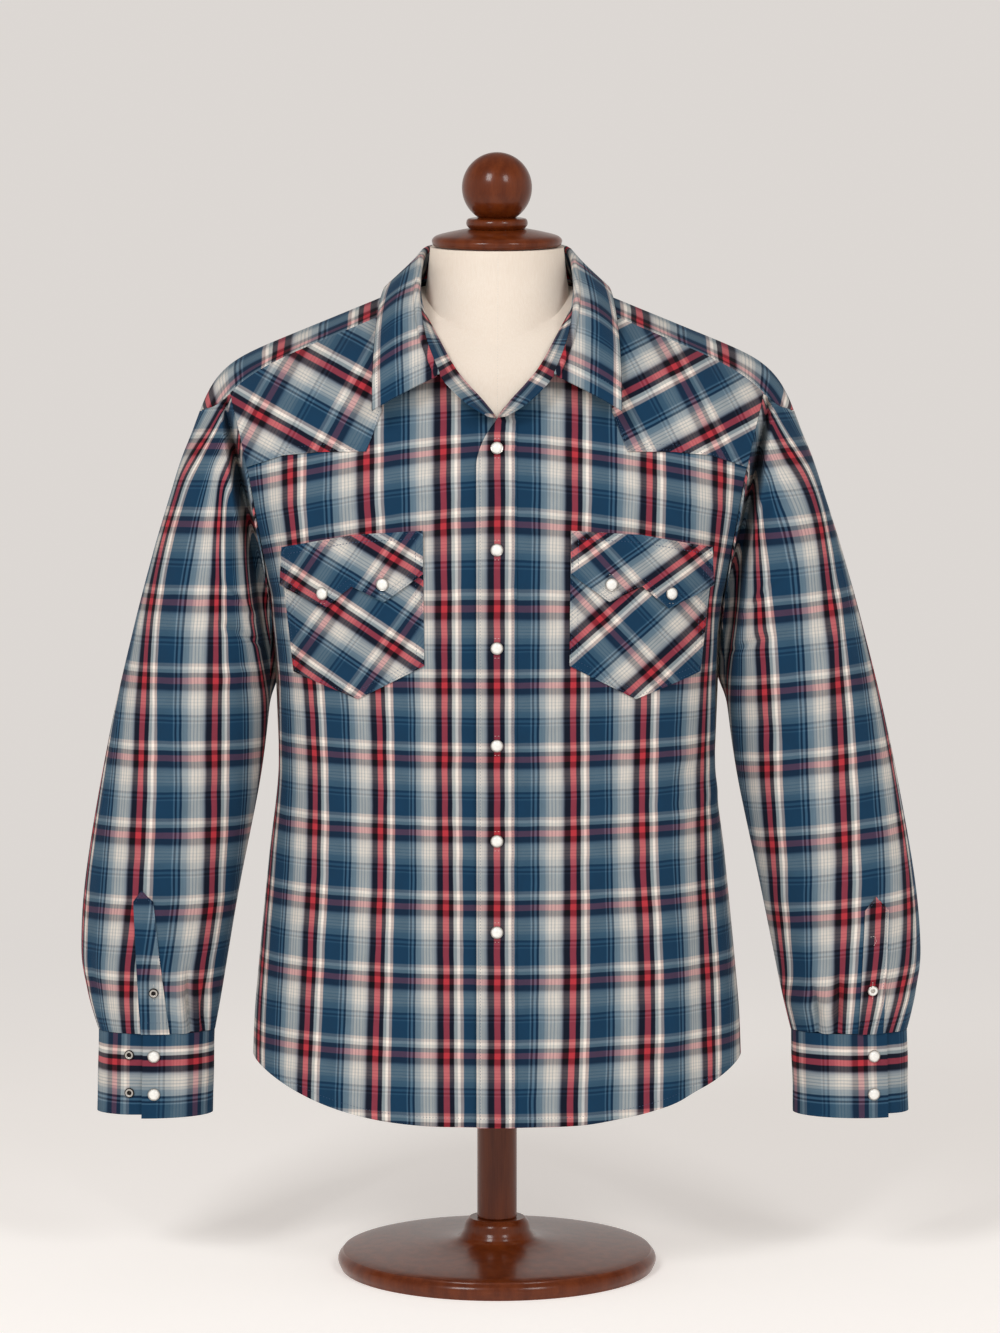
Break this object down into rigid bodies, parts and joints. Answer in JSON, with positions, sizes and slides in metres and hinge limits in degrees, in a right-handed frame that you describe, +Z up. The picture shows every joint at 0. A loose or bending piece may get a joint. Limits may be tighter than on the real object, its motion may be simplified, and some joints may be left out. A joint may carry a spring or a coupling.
{
  "type": "western snap shirt on a dress form",
  "caption": "Long-sleeved western snap shirt with pointed yokes, bias chest pockets and snap cuffs, worn by a limbless dress form on a turned base.",
  "frame": {"origin": "centre of the base's underside, on the floor", "axes": "+Z up; the wearer faces -Y; +X is the wearer's left, the viewer's right"},
  "size_m": [0.7874, 0.3, 1.0428],
  "materials": {
    "shirting": "soft woven cotton in a shaded check of blue, navy, red and off-white",
    "form_linen": "matt linen cover",
    "snap_pearl": "pearl cap, polished",
    "snap_metal": "nickel plated",
    "stained_wood": "dark stain under gloss varnish"
  },
  "bodies": {
    "root": {"back": "shirting", "back_yoke": "shirting", "collar_stand": "shirting", "collar_leaf": "shirting", "front_right": "shirting", "front_left": "shirting", "yoke_right": "shirting", "yoke_left": "shirting", "pocket_right": "shirting", "pocket_left": "shirting", "pocket_flap_right": "shirting", "pocket_flap_left": "shirting", "sleeve_right": "shirting", "sleeve_left": "shirting", "sleeve_placket_right": "shirting", "sleeve_placket_left": "shirting", "cuff_right": "shirting", "cuff_left": "shirting", "front_band": "shirting", "pocket_snap_right_1": "snap_pearl", "pocket_snap_right_2": "snap_pearl", "pocket_snap_left_1": "snap_pearl", "pocket_snap_left_2": "snap_pearl", "cuff_snap_right_1": "snap_pearl", "cuff_snap_right_2": "snap_pearl", "cuff_snap_left_1": "snap_pearl", "cuff_snap_left_2": "snap_pearl", "front_snap_1": "snap_pearl", "front_snap_2": "snap_pearl", "front_snap_3": "snap_pearl", "front_snap_4": "snap_pearl", "front_snap_5": "snap_pearl", "front_snap_6": "snap_pearl", "sleeve_snap_right": "snap_metal", "sleeve_snap_left": "snap_metal", "cuff_post_1": "snap_metal", "cuff_post_2": "snap_metal", "torso_form": "form_linen", "neck_cap": "stained_wood", "finial": "stained_wood", "pole": "stained_wood", "base": "stained_wood"}
  },
  "joints": []
}
